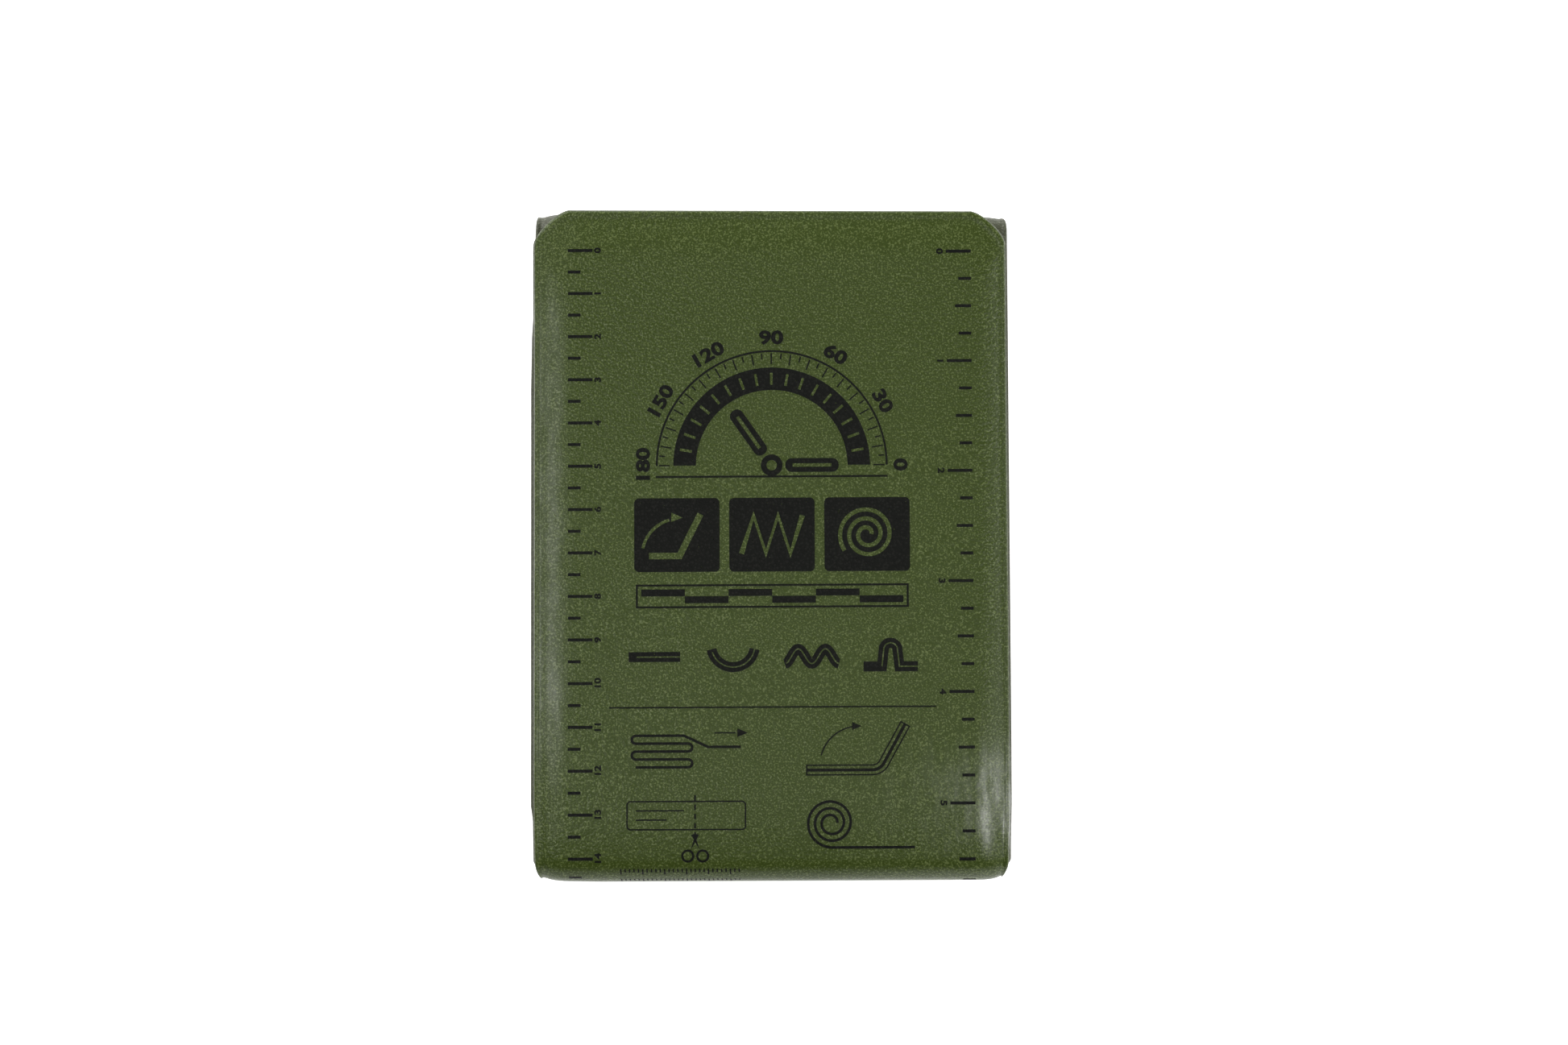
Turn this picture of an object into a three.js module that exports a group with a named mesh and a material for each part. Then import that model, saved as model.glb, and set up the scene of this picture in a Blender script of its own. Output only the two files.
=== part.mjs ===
// Folded aluminium foam splint.
// A long strip of soft aluminium between two layers of closed-cell foam, folded flat in a zigzag.
// Millimetres. X runs across the strip, Y along the folded pack and Z up through its panels.
// The origin is under the middle of the pack. The printed face of the first panel looks up.

import * as THREE from 'three';

// The strip as it is cut, before it is folded.
const STRIP_LENGTH = 920;
const STRIP_WIDTH = 109.5;
const CORNER_RADIUS = 8;

// Layers. Each clearance is the space between two layers.
const FOAM_THICKNESS = 2.2;
const CORE_THICKNESS = 0.4;
const CORE_CLEARANCE = 0.1;
const SEAM_CLEARANCE = 0.2;
const EDGE_STEP = 0.4;

// Foam that goes past the metal, and the metal's own corners.
const SIDE_BORDER = 5.8;
const END_BORDER = 9.4;
const CORE_SIDE_CLEARANCE = 0.3;
const CORE_CORNER_RADIUS = 6;

// Folding.
const PANEL_COUNT = 6;
const PANEL_CLEARANCE = 0.6;
const END_SET_BACK = 0.3;
const FOLD_SET_BACK = 0.6;
const PANEL_DRIFT = 0.35;

// The first fold stands open by FIRST_FOLD_LIFT. Its panel climbs on to a low crest, nearer to the fold
// on the left than on the right, and comes down again towards the free end.
const FIRST_FOLD_LIFT = 0.6;
const CREST_DISTANCE_LEFT = 12;
const CREST_DISTANCE_RIGHT = 20;
const CREST_RUN = 100;

// Round a fold the soft border beside the metal pulls in.
const BORDER_TUCK = 0.2;
const BORDER_NARROWING = 2.4;

// Height of a foam layer's outer face over its border.
// across: share of the border's width, from the edge inwards
// height: share of the height over the metal
// seam: share of the step in the inner face, 0 where the two foams meet and 1 over the metal
const BORDER_PROFILE = [
  { across: 0, height: 0.6, seam: 0 },
  { across: 0.08, height: 0.73, seam: 0 },
  { across: 0.2, height: 0.66, seam: 0 },
  { across: 0.5, height: 0.8, seam: 0 },
  { across: 0.82, height: 0.93, seam: 0 },
  { across: 1, height: 1, seam: 1 },
];

// How the panels and folds lie, one row for a panel and the fold after it.
// drift: share of PANEL_DRIFT that the panel lies to the right
// set_back: share of FOLD_SET_BACK that the fold after it lies inside the pack's end
const LAY = [
  { drift: 0, set_back: 0 },
  { drift: 1, set_back: 0 },
  { drift: -0.6, set_back: 0.5 },
  { drift: 0.4, set_back: 1 },
  { drift: -1, set_back: 0.8 },
  { drift: 0.3, set_back: 0.3 },
];

// Steps of the faceted surfaces.
const FOLD_STEPS = 8;
const CORNER_STEPS = 6;
const CREST_STEPS = 5;
const PANEL_STEPS = 2;

const FACE_HEIGHT = CORE_THICKNESS / 2 + CORE_CLEARANCE + FOAM_THICKNESS;
const SHEET_THICKNESS = 2 * FACE_HEIGHT;
const PANEL_PITCH = SHEET_THICKNESS + PANEL_CLEARANCE;
const FOLD_RADIUS = PANEL_PITCH / 2;
const FOLD_REACH = FOLD_RADIUS + FACE_HEIGHT;
const FOLD_ARC = Math.PI * FOLD_RADIUS;
const END_REACH = FOLD_REACH - END_SET_BACK;

// Rings of points that would lie closer than the thinnest clearance are one.
const RING_SPACING = Math.min(CORE_CLEARANCE, SEAM_CLEARANCE);

function clamp(value, low, high) {
  return Math.min(Math.max(value, low), high);
}

function smooth(share) {
  const t = clamp(share, 0, 1);
  return t * t * (3 - 2 * t);
}

function mix(a, b, share) {
  return a + (b - a) * share;
}

// A value read from the border's table, with straight lines between its rows.
function borderValue(share, column) {
  const last = BORDER_PROFILE.length - 1;
  if (share >= 1) {
    return BORDER_PROFILE[last][column];
  }
  for (let i = 0; i < last; i += 1) {
    const row = BORDER_PROFILE[i];
    const next = BORDER_PROFILE[i + 1];
    if (share <= next.across) {
      return mix(row[column], next[column], (share - row.across) / (next.across - row.across));
    }
  }
  return BORDER_PROFILE[last][column];
}

const lay = (index) => LAY[index % LAY.length];
const setBack = (fold) => lay(fold).set_back * FOLD_SET_BACK;

// The straight run between two folds is what is left of the strip after its bends and its two ends.
let totalSetBack = 0;
for (let fold = 0; fold < PANEL_COUNT - 1; fold += 1) {
  totalSetBack += setBack(fold);
}
const BENT_LENGTH = (PANEL_COUNT - 1) * FOLD_ARC;
const PANEL_RUN = (STRIP_LENGTH - BENT_LENGTH - 2 * END_REACH + 2 * totalSetBack) / PANEL_COUNT;

// Panels and folds in the order in which the strip meets them, each with its start along the strip.
const COURSE = [];
let travelled = 0;
for (let index = 0; index < PANEL_COUNT; index += 1) {
  const before = index === 0 ? END_REACH : -setBack(index - 1);
  const after = index === PANEL_COUNT - 1 ? END_REACH : -setBack(index);
  const length = PANEL_RUN + before + after;
  COURSE.push({ kind: 'panel', index, start: travelled, length, before });
  travelled += length;
  if (index < PANEL_COUNT - 1) {
    COURSE.push({ kind: 'fold', index, start: travelled, length: FOLD_ARC });
    travelled += FOLD_ARC;
  }
}
const FIRST_FOLD_MIDDLE = COURSE[1].start + FOLD_ARC / 2;

// How far the first panel is lifted off the pack, at x across the strip and a place along it.
function crestLift(x, along) {
  const halfFold = FOLD_ARC / 2;
  const distance = FIRST_FOLD_MIDDLE - along;
  if (distance <= -halfFold) {
    return 0;
  }
  if (distance < halfFold) {
    return FIRST_FOLD_LIFT * ((distance + halfFold) / FOLD_ARC) ** 2;
  }
  const crestDistance = mix(CREST_DISTANCE_LEFT, CREST_DISTANCE_RIGHT, x / STRIP_WIDTH + 0.5);
  const climb = crestDistance - halfFold;
  const crestRise = (FIRST_FOLD_LIFT * climb) / FOLD_ARC;
  if (distance < crestDistance) {
    const share = (distance - halfFold) / climb;
    return FIRST_FOLD_LIFT + crestRise * share * (2 - share);
  }
  return (FIRST_FOLD_LIFT + crestRise) * (1 - smooth((distance - crestDistance) / CREST_RUN));
}

// A point of the flat strip, at x across it, a distance along it and a height towards the print,
// taken to its place in the folded pack.
function foldedPoint(x, along, height) {
  let stretch = COURSE[0];
  for (const entry of COURSE) {
    if (along >= entry.start) {
      stretch = entry;
    }
  }
  const { kind, index, start } = stretch;
  const printUp = index % 2 === 0 ? 1 : -1;
  const side = -printUp;
  const panelHeight = FACE_HEIGHT + (PANEL_COUNT - 1 - index) * PANEL_PITCH;
  const lift = crestLift(x, along);
  if (kind === 'panel') {
    const travel = along - start - stretch.before;
    const y = side * (travel - PANEL_RUN / 2);
    const drift = lay(index).drift * PANEL_DRIFT;
    return new THREE.Vector3(x + drift, y, panelHeight + printUp * height + lift);
  }
  const angle = (along - start) / FOLD_RADIUS;
  const drift = mix(lay(index).drift, lay(index + 1).drift, smooth(angle / Math.PI)) * PANEL_DRIFT;
  const edgeShare = clamp((STRIP_WIDTH / 2 - Math.abs(x)) / SIDE_BORDER, 0, 1);
  const tuck = (1 - edgeShare) ** 2 * Math.sin(angle);
  const radius = (FOLD_RADIUS + printUp * height) * (1 - BORDER_TUCK * tuck);
  const centreY = side * (PANEL_RUN / 2 - setBack(index));
  const centreZ = panelHeight - FOLD_RADIUS;
  return new THREE.Vector3(
    x - Math.sign(x) * BORDER_NARROWING * tuck + drift,
    centreY + side * radius * Math.sin(angle),
    centreZ + radius * Math.cos(angle) + lift,
  );
}

// How far the outline of a layer lies inside its widest line near a rounded end.
function cornerInset(endDistance, radius) {
  if (endDistance >= radius) {
    return 0;
  }
  const rest = radius - endDistance;
  return radius - Math.sqrt(Math.max(radius * radius - rest * rest, 0));
}

// Distances from the end at which a rounded corner turns by equal steps.
function cornerDistances(radius) {
  const distances = [];
  for (let step = 1; step <= CORNER_STEPS; step += 1) {
    distances.push(radius * (1 - Math.cos((Math.PI / 2) * (step / CORNER_STEPS))));
  }
  return distances;
}

// Places along the strip where a ring of points is set, between the two ends of a layer.
function stations(endInset, endDistances) {
  const places = [];
  const first = endInset;
  const last = STRIP_LENGTH - endInset;
  for (const distance of endDistances) {
    places.push(first + distance, last - distance);
  }
  for (const entry of COURSE) {
    const steps = entry.kind === 'fold' ? FOLD_STEPS : PANEL_STEPS;
    for (let step = 0; step <= steps; step += 1) {
      places.push(entry.start + (entry.length * step) / steps);
    }
  }
  for (let step = 1; step <= CREST_STEPS; step += 1) {
    const share = step / CREST_STEPS;
    places.push(FIRST_FOLD_MIDDLE - mix(FOLD_ARC / 2, CREST_DISTANCE_RIGHT, share));
    places.push(FIRST_FOLD_MIDDLE - CREST_DISTANCE_RIGHT - CREST_RUN * share);
  }
  places.sort((a, b) => a - b);
  const kept = [first];
  for (const place of places) {
    const apart = place - kept[kept.length - 1] > RING_SPACING;
    if (apart && place < last - RING_SPACING) {
      kept.push(place);
    }
  }
  kept.push(last);
  return kept;
}

// A closed solid from rings of outer and inner points, one ring at each place along the strip.
function layerGeometry(places, ringAt) {
  const vertices = [];
  const triangles = [];
  const rings = [];
  for (const place of places) {
    const { outer, inner } = ringAt(place);
    const ring = [];
    for (const point of [...outer, ...inner.reverse()]) {
      const placed = foldedPoint(point.x, place, point.height);
      ring.push(vertices.length / 3);
      vertices.push(placed.x, placed.y, placed.z);
    }
    rings.push(ring);
  }
  const count = rings[0].length;
  const half = count / 2;
  for (let r = 0; r < rings.length - 1; r += 1) {
    for (let i = 0; i < count; i += 1) {
      const j = (i + 1) % count;
      const [a, b] = [rings[r][i], rings[r][j]];
      const [c, d] = [rings[r + 1][i], rings[r + 1][j]];
      // Both faces of a layer are split along the same diagonal, so that layers stay evenly apart.
      if (i < half) {
        triangles.push(a, c, d, a, d, b);
      } else {
        triangles.push(a, c, b, b, c, d);
      }
    }
  }
  const firstRing = rings[0];
  const lastRing = rings[rings.length - 1];
  for (let i = 0; i < half - 1; i += 1) {
    const a = i;
    const b = i + 1;
    const c = count - 2 - i;
    const d = count - 1 - i;
    triangles.push(firstRing[a], firstRing[b], firstRing[c]);
    triangles.push(firstRing[a], firstRing[c], firstRing[d]);
    triangles.push(lastRing[a], lastRing[c], lastRing[b]);
    triangles.push(lastRing[a], lastRing[d], lastRing[c]);
  }
  const geometry = new THREE.BufferGeometry();
  geometry.setAttribute('position', new THREE.Float32BufferAttribute(vertices, 3));
  geometry.setIndex(triangles);
  geometry.computeVertexNormals();
  return geometry;
}

// A foam layer. facing is 1 for the printed side and -1 for the back.
function foamGeometry(facing, edgeInset) {
  const halfWidth = STRIP_WIDTH / 2 - edgeInset;
  const radius = CORNER_RADIUS - edgeInset;
  const seamHeight = SEAM_CLEARANCE / 2;
  const coreHeight = CORE_THICKNESS / 2 + CORE_CLEARANCE;
  const endDistances = cornerDistances(radius);
  for (const row of BORDER_PROFILE) {
    endDistances.push(row.across * (END_BORDER - edgeInset));
  }

  function ringAt(place) {
    const endDistance = Math.min(place, STRIP_LENGTH - place) - edgeInset;
    const edge = halfWidth - cornerInset(endDistance, radius);
    const endShare = endDistance / (END_BORDER - edgeInset);
    const offsets = [];
    for (const row of BORDER_PROFILE) {
      offsets.push(row.across * (SIDE_BORDER - edgeInset));
    }
    const across = [];
    for (const offset of offsets) {
      across.push({ x: -edge + offset, share: offset / (SIDE_BORDER - edgeInset) });
    }
    for (const offset of offsets.reverse()) {
      across.push({ x: edge - offset, share: offset / (SIDE_BORDER - edgeInset) });
    }
    const outer = [];
    const inner = [];
    for (const { x, share } of across) {
      const shareIn = Math.min(share, endShare);
      const outerHeight = FACE_HEIGHT * borderValue(shareIn, 'height');
      const innerHeight = mix(seamHeight, coreHeight, borderValue(shareIn, 'seam'));
      outer.push({ x, height: facing * outerHeight });
      inner.push({ x, height: facing * innerHeight });
    }
    return facing > 0 ? { outer, inner } : { outer: inner, inner: outer };
  }

  return layerGeometry(stations(edgeInset, endDistances), ringAt);
}

// The aluminium strip, with rounded corners.
function coreGeometry() {
  const sideInset = SIDE_BORDER + CORE_SIDE_CLEARANCE;
  const endInset = END_BORDER + CORE_SIDE_CLEARANCE;
  function ringAt(place) {
    const endDistance = Math.min(place, STRIP_LENGTH - place) - endInset;
    const edge = STRIP_WIDTH / 2 - sideInset - cornerInset(endDistance, CORE_CORNER_RADIUS);
    const outer = [-edge, edge].map((x) => ({ x, height: CORE_THICKNESS / 2 }));
    const inner = [-edge, edge].map((x) => ({ x, height: -CORE_THICKNESS / 2 }));
    return { outer, inner };
  }

  return layerGeometry(stations(endInset, cornerDistances(CORE_CORNER_RADIUS)), ringAt);
}

function piece(name, geometry, colour, roughness, metalness) {
  const material = new THREE.MeshStandardMaterial({ color: colour, roughness, metalness });
  const mesh = new THREE.Mesh(geometry, material);
  mesh.name = name;
  return mesh;
}

const splint = new THREE.Group();
splint.add(piece('front_foam', foamGeometry(1, EDGE_STEP), 0x464f2f, 0.62, 0));
splint.add(piece('aluminium_core', coreGeometry(), 0xb9bcbe, 0.4, 1));
splint.add(piece('back_foam', foamGeometry(-1, 0), 0x52583f, 0.66, 0));

export default splint;
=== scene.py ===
# Folded aluminium foam splint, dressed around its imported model.
# Metres. X runs across the strip, Y along the folded pack and Z up through its panels.
import math
from collections import namedtuple

import bpy
import numpy as np
from mathutils import Matrix, Vector


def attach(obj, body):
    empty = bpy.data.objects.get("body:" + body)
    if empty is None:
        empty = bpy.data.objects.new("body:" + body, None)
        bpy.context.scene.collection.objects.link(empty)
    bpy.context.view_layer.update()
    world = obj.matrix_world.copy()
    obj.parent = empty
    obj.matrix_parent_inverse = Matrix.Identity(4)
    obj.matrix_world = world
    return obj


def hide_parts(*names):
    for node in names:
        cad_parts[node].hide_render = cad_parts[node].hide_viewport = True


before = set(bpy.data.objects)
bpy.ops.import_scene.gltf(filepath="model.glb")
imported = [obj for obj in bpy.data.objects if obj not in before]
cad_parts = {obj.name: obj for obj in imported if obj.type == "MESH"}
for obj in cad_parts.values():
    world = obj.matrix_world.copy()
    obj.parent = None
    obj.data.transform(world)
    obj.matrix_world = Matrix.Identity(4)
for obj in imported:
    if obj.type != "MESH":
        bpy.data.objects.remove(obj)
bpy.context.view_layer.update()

MM = 0.001

# The strip as it is cut, with its layers, as in the solid model.
STRIP_LENGTH = 920 * MM
STRIP_WIDTH = 109.5 * MM
CORNER_RADIUS = 8 * MM
FOAM_THICKNESS = 2.2 * MM
CORE_THICKNESS = 0.4 * MM
CORE_CLEARANCE = 0.1 * MM
SEAM_CLEARANCE = 0.2 * MM
EDGE_STEP = 0.4 * MM
SIDE_BORDER = 5.8 * MM
END_BORDER = 9.4 * MM
FACE_HEIGHT = CORE_THICKNESS / 2 + CORE_CLEARANCE + FOAM_THICKNESS

# How it is folded, as in the solid model.
PANEL_COUNT = 6
PANEL_CLEARANCE = 0.6 * MM
END_SET_BACK = 0.3 * MM
FOLD_SET_BACK = 0.6 * MM
PANEL_DRIFT = 0.35 * MM
DRIFT_SHARES = (0, 1, -0.6, 0.4, -1, 0.3)
SET_BACK_SHARES = (0, 0, 0.5, 1, 0.8)
FIRST_FOLD_LIFT = 0.6 * MM
CREST_DISTANCE_LEFT = 12 * MM
CREST_DISTANCE_RIGHT = 20 * MM
CREST_RUN = 100 * MM

# How the corners of the folds give way. narrowing: of the strip at its edge. slump: of the fold's
# reach near its end, over a run from the strip's edge.
Corner = namedtuple("Corner", "narrowing slump run")
FRONT_LEFT = Corner(0.9 * MM, 0.15 * MM, 16 * MM)
FRONT_RIGHT = Corner(1.6 * MM, 0.0, 16 * MM)
REAR_LEFT = Corner(0.4 * MM, 0.1 * MM, 16 * MM)
REAR_RIGHT = Corner(0.4 * MM, 1.35 * MM, 18 * MM)
SLUMP_FULLNESS = 1.4

# How much narrower the panels get towards the front folds, and over what length.
SIDE_FADE_LEFT = 0.15 * MM
SIDE_FADE_RIGHT = 0.35 * MM
SIDE_FADE_RUN = 14 * MM

# The printed panel sags towards its right edge near the first fold.
SAG = 0.55 * MM
SAG_FROM_X = 46.4 * MM
SAG_RUN = 7.5 * MM
SAG_MIDDLE = -62 * MM
SAG_REACH = 26 * MM
SAG_FULLNESS = 1.3

# The second layer bulges from under the printed one on the left, between these places along Y.
BULGE = 1.1 * MM
BULGE_FROM = -65.7 * MM
BULGE_TO = 63.0 * MM
BULGE_START_RUN = 2.5 * MM
BULGE_END_RUN = 20 * MM

PANEL_PITCH = 2 * FACE_HEIGHT + PANEL_CLEARANCE
FOLD_RADIUS = PANEL_PITCH / 2
FOLD_REACH = FOLD_RADIUS + FACE_HEIGHT
FOLD_ARC = math.pi * FOLD_RADIUS
END_REACH = FOLD_REACH - END_SET_BACK

# The worked border of a foam layer. share: of the border's width, from its edge inwards.
# height: of the height over the metal.
EDGE_HEIGHT_SHARE = 0.6
BorderStep = namedtuple("BorderStep", "share height")
BORDER_STEPS = (
    BorderStep(0.07, 0.72), BorderStep(0.13, 0.72), BorderStep(0.2, 0.64), BorderStep(0.32, 0.69),
    BorderStep(0.45, 0.765), BorderStep(0.57, 0.83), BorderStep(0.7, 0.885), BorderStep(0.85, 0.935),
    BorderStep(1.0, 0.97), BorderStep(1.15, 0.99), BorderStep(1.32, 1.0),
)
CORNER_FULLNESS = 0.36
CORNER_SEGMENTS = 10

# The front end isn't cut quite square. Its right corner lies this far back.
END_SKEW = 0.9 * MM
END_SKEW_REACH = 30 * MM

# Into how many steps each stretch of a layer is cut so that it can bend, and across the face.
FOLD_CUTS = 16
FIRST_PANEL_CUTS = 44
PANEL_CUTS = 6
FACE_COLUMNS = 26
FACE_MARGIN = 2.6 * MM
MERGE_DISTANCE = 0.0001 * MM

# Print. It is laid in distances along the printed face, from the front end.
INK_THICKNESS = 0.03 * MM
INK_LIFT = 0.012 * MM
INK_FACE_CUTS = 75
TICK_THICKNESS = 0.7 * MM
DIGIT_HEIGHT = 1.45 * MM
DIAL_DIGIT_HEIGHT = 3.1 * MM
DIGIT_SHARE_OF_SIZE = 0.73
NUMBER_WEIGHT = 0.04
NUMBER_WIDENING = 1.3

# The two rulers. ticks: their lengths, in turn, with a number beside each first one. side: 1 where
# they point right. turn: of the numbers.
Ruler = namedtuple("Ruler", "name zero ticks_from side step ticks numbers_at turn")
CENTIMETRES = Ruler(
    "centimetre_scale", 9.99 * MM, -46.5 * MM, 1, 5 * MM,
    (5.65 * MM, 2.9 * MM), -39.6 * MM, math.pi / 2,
)
INCHES = Ruler(
    "inch_scale", 10.63 * MM, 46.36 * MM, -1, 25.4 / 4 * MM,
    (5.7 * MM, 2.9 * MM, 3.7 * MM, 2.9 * MM), 39.1 * MM, -math.pi / 2,
)

# The foams' skin: the scales of its patterns, in grains a metre, its relief and its colours. The speck
# colours are painted highlights: pale glints of light on the grain.
PEBBLE_SCALE = 1500
FINE_GRAIN_SCALE = 3400
PAINTED_GLINT_SCALE = 2300
CLOUD_SCALE = 60
WRINKLE_SCALE = 700
STREAK_SCALE = 420
INK_WEAR_SCALE = 1750
PEBBLE_WANDER = 0.4 * MM
SKIN_RELIEF = 0.1 * MM
SKIN_SHEEN = 0.25
OLIVE = (0.03, 0.0465, 0.0045)
OLIVE_PAINTED_GLINT = (0.101, 0.13, 0.042)
GREY_OLIVE = (0.046, 0.051, 0.028)
GREY_OLIVE_PAINTED_GLINT = (0.1, 0.105, 0.07)

# Floor, sky and camera. The sky fades from its horizon to its zenith between two heights.
FLOOR_SIZE = 8
FLOOR_GLOW = 0.8
FLOOR_DROP = 0.05 * MM
SKY_ZENITH = 0.03
SKY_HORIZON = 2.6
SKY_FADE_FROM = 0.05
SKY_FADE_TO = 0.45
SOFTBOX_DISTANCE = 1.3
AIM = Vector((3.06 * MM, 4.19 * MM, 33 * MM))
CAMERA_DISTANCE = 1.0
CAMERA_LEAN = math.radians(-0.47)
CAMERA_TILT = math.radians(4.86)
CAMERA_ROLL = math.radians(-0.26)
FOCAL_LENGTH = 100.1
SENSOR_WIDTH = 36

SET_BACKS = [share * FOLD_SET_BACK for share in SET_BACK_SHARES]
BENT_LENGTH = (PANEL_COUNT - 1) * FOLD_ARC
PANEL_RUN = (STRIP_LENGTH - BENT_LENGTH - 2 * END_REACH + 2 * sum(SET_BACKS)) / PANEL_COUNT

Stretch = namedtuple("Stretch", "kind index start length before")


def course_of_strip():
    """Panels and folds in the order in which the strip meets them."""
    course = []
    start = 0.0
    for index in range(PANEL_COUNT):
        before = END_REACH if index == 0 else -SET_BACKS[index - 1]
        after = END_REACH if index == PANEL_COUNT - 1 else -SET_BACKS[index]
        length = PANEL_RUN + before + after
        course.append(Stretch("panel", index, start, length, before))
        start += length
        if index < PANEL_COUNT - 1:
            course.append(Stretch("fold", index, start, FOLD_ARC, 0.0))
            start += FOLD_ARC
    return course


COURSE = course_of_strip()
FIRST_PANEL, FIRST_FOLD = COURSE[0], COURSE[1]
FIRST_FOLD_MIDDLE = FIRST_FOLD.start + FOLD_ARC / 2


def smooth(share):
    """Eases a share from 0 to 1."""
    held = np.clip(share, 0, 1)
    return held * held * (3 - 2 * held)


def crest_lift(x, along):
    """How far the first panel is lifted off the pack."""
    half_fold = FOLD_ARC / 2
    distance = FIRST_FOLD_MIDDLE - along
    side_share = x / STRIP_WIDTH + 0.5
    crest_distance = CREST_DISTANCE_LEFT + (CREST_DISTANCE_RIGHT - CREST_DISTANCE_LEFT) * side_share
    climb = crest_distance - half_fold
    crest_rise = FIRST_FOLD_LIFT * climb / FOLD_ARC
    in_fold = FIRST_FOLD_LIFT * ((distance + half_fold) / FOLD_ARC) ** 2
    share = (distance - half_fold) / climb
    climbing = FIRST_FOLD_LIFT + crest_rise * share * (2 - share)
    falling = (FIRST_FOLD_LIFT + crest_rise) * (1 - smooth((distance - crest_distance) / CREST_RUN))
    lift = np.where(distance < crest_distance, climbing, falling)
    lift = np.where(distance < half_fold, in_fold, lift)
    return np.where(distance <= -half_fold, 0, lift)


def corner_give(x, left, right):
    """How much narrower the strip and how much shorter its reach is in a fold near its sides."""
    inward = STRIP_WIDTH / 2 - np.abs(x)
    on_right = (x > 0).astype(float)
    narrowing, slump, run = (a + (b - a) * on_right for a, b in zip(left, right))
    edge_share = np.clip(inward / SIDE_BORDER, 0, 1)
    toward_side = np.clip(1 - inward / run, 0, 1)
    return narrowing * (1 - edge_share) ** 2, slump * smooth(toward_side * SLUMP_FULLNESS)


def sag(x, y):
    """How far the printed panel hangs down at its right edge, most of all behind the first fold."""
    near_fold = smooth(SAG_FULLNESS - np.abs(y - SAG_MIDDLE) / SAG_REACH)
    return SAG * smooth((x - SAG_FROM_X) / SAG_RUN) * near_fold


def bulge(x, y):
    """How far the second panel's left edge reaches out from under the first."""
    along_edge = smooth((y - BULGE_FROM) / BULGE_START_RUN) * smooth((BULGE_TO - y) / BULGE_END_RUN)
    edge_share = np.clip((STRIP_WIDTH / 2 + x) / SIDE_BORDER, 0, 1)
    return BULGE * (1 - edge_share) * along_edge


def side_fade(x):
    """How much narrower the strip is where it nears the front folds."""
    fade = np.where(x < 0, -SIDE_FADE_LEFT, SIDE_FADE_RIGHT)
    return fade * (1 - np.clip((STRIP_WIDTH / 2 - np.abs(x)) / SIDE_BORDER, 0, 1))


def print_direction(index):
    """1 where a panel's print faces up and -1 where it faces down."""
    return 1 if index % 2 == 0 else -1


def panel_middle_height(index):
    return FACE_HEIGHT + (PANEL_COUNT - 1 - index) * PANEL_PITCH


def place_on_panel(panel, x, along, height):
    """Where points of the flat strip lie once they are on a panel of the pack."""
    index = panel.index
    print_up = print_direction(index)
    y = -print_up * (along - panel.start - panel.before - PANEL_RUN / 2)
    z = panel_middle_height(index) + print_up * height
    across = x + DRIFT_SHARES[index] * PANEL_DRIFT
    across -= side_fade(x) * smooth(1 - (y + PANEL_RUN / 2) / SIDE_FADE_RUN)
    if index == 0:
        z -= sag(x, y)
    if index == 1:
        across -= bulge(x, y)
    return across, y, z


def place_in_fold(fold, x, along, height):
    """Where points of the flat strip lie once they are in a fold of the pack."""
    index = fold.index
    print_up = print_direction(index)
    at_front = print_up > 0
    angle = (along - fold.start) / FOLD_RADIUS
    change = DRIFT_SHARES[index + 1] - DRIFT_SHARES[index]
    drift = (DRIFT_SHARES[index] + change * smooth(angle / math.pi)) * PANEL_DRIFT
    reach = FOLD_RADIUS + print_up * height
    turned = np.sin(angle)
    left, right = (FRONT_LEFT, FRONT_RIGHT) if at_front else (REAR_LEFT, REAR_RIGHT)
    narrowing, loss = corner_give(x, left, right)
    radius = reach - loss * turned * (reach / FOLD_REACH) ** 2
    y = -print_up * (PANEL_RUN / 2 - SET_BACKS[index] + radius * turned)
    z = panel_middle_height(index) - FOLD_RADIUS + radius * np.cos(angle)
    across = x - np.sign(x) * narrowing * turned ** 3 + drift
    if index == 0:
        z -= sag(x, -PANEL_RUN / 2) * (1 + np.cos(angle)) / 2
    if at_front:
        across -= side_fade(x)
    return across, y, z


def fold_strip(flat):
    """Takes points of the flat strip, x across, y along and z towards the print, into the pack."""
    x, along, height = flat.T
    starts = [stretch.start for stretch in COURSE]
    owner = np.clip(np.searchsorted(starts, along, side="right") - 1, 0, len(COURSE) - 1)
    lift = crest_lift(x, along)
    placed = np.empty_like(flat)
    for number, stretch in enumerate(COURSE):
        here = owner == number
        place = place_on_panel if stretch.kind == "panel" else place_in_fold
        across, y, z = place(stretch, x[here], along[here], height[here])
        placed[here] = np.column_stack((across, y, z + lift[here]))
    return placed


def strip_place(printed):
    """Where on the strip a distance along the printed face lies. Round a fold the face is longer."""
    face_marks = [0.0]
    strip_marks = [0.0]
    for stretch in COURSE:
        outward = stretch.kind == "fold" and stretch.index % 2 == 0
        face_length = math.pi * FOLD_REACH if outward else stretch.length
        face_marks.append(face_marks[-1] + face_length)
        strip_marks.append(strip_marks[-1] + stretch.length)
    return np.interp(printed, face_marks, strip_marks)


# Foam

def bending_cuts():
    """Places along the strip where a layer is cut so that it can bend."""
    cuts = []
    for stretch in COURSE:
        count = FOLD_CUTS if stretch.kind == "fold" else PANEL_CUTS
        if stretch is FIRST_PANEL:
            count = FIRST_PANEL_CUTS
        cuts += [stretch.start + stretch.length * step / count for step in range(count)]
    return cuts[1:]


def cut_across(axis, places):
    """Cuts the mesh in edit mode by planes square to an axis."""
    normal = [0, 0, 0]
    normal[axis] = 1
    for place in places:
        point = [0, 0, 0]
        point[axis] = place
        bpy.ops.mesh.select_all(action="SELECT")
        bpy.ops.mesh.bisect(plane_co=point, plane_no=normal)


def coordinates(piece):
    flat = np.empty(len(piece.data.vertices) * 3)
    piece.data.vertices.foreach_get("co", flat)
    return flat.reshape(-1, 3)


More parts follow.
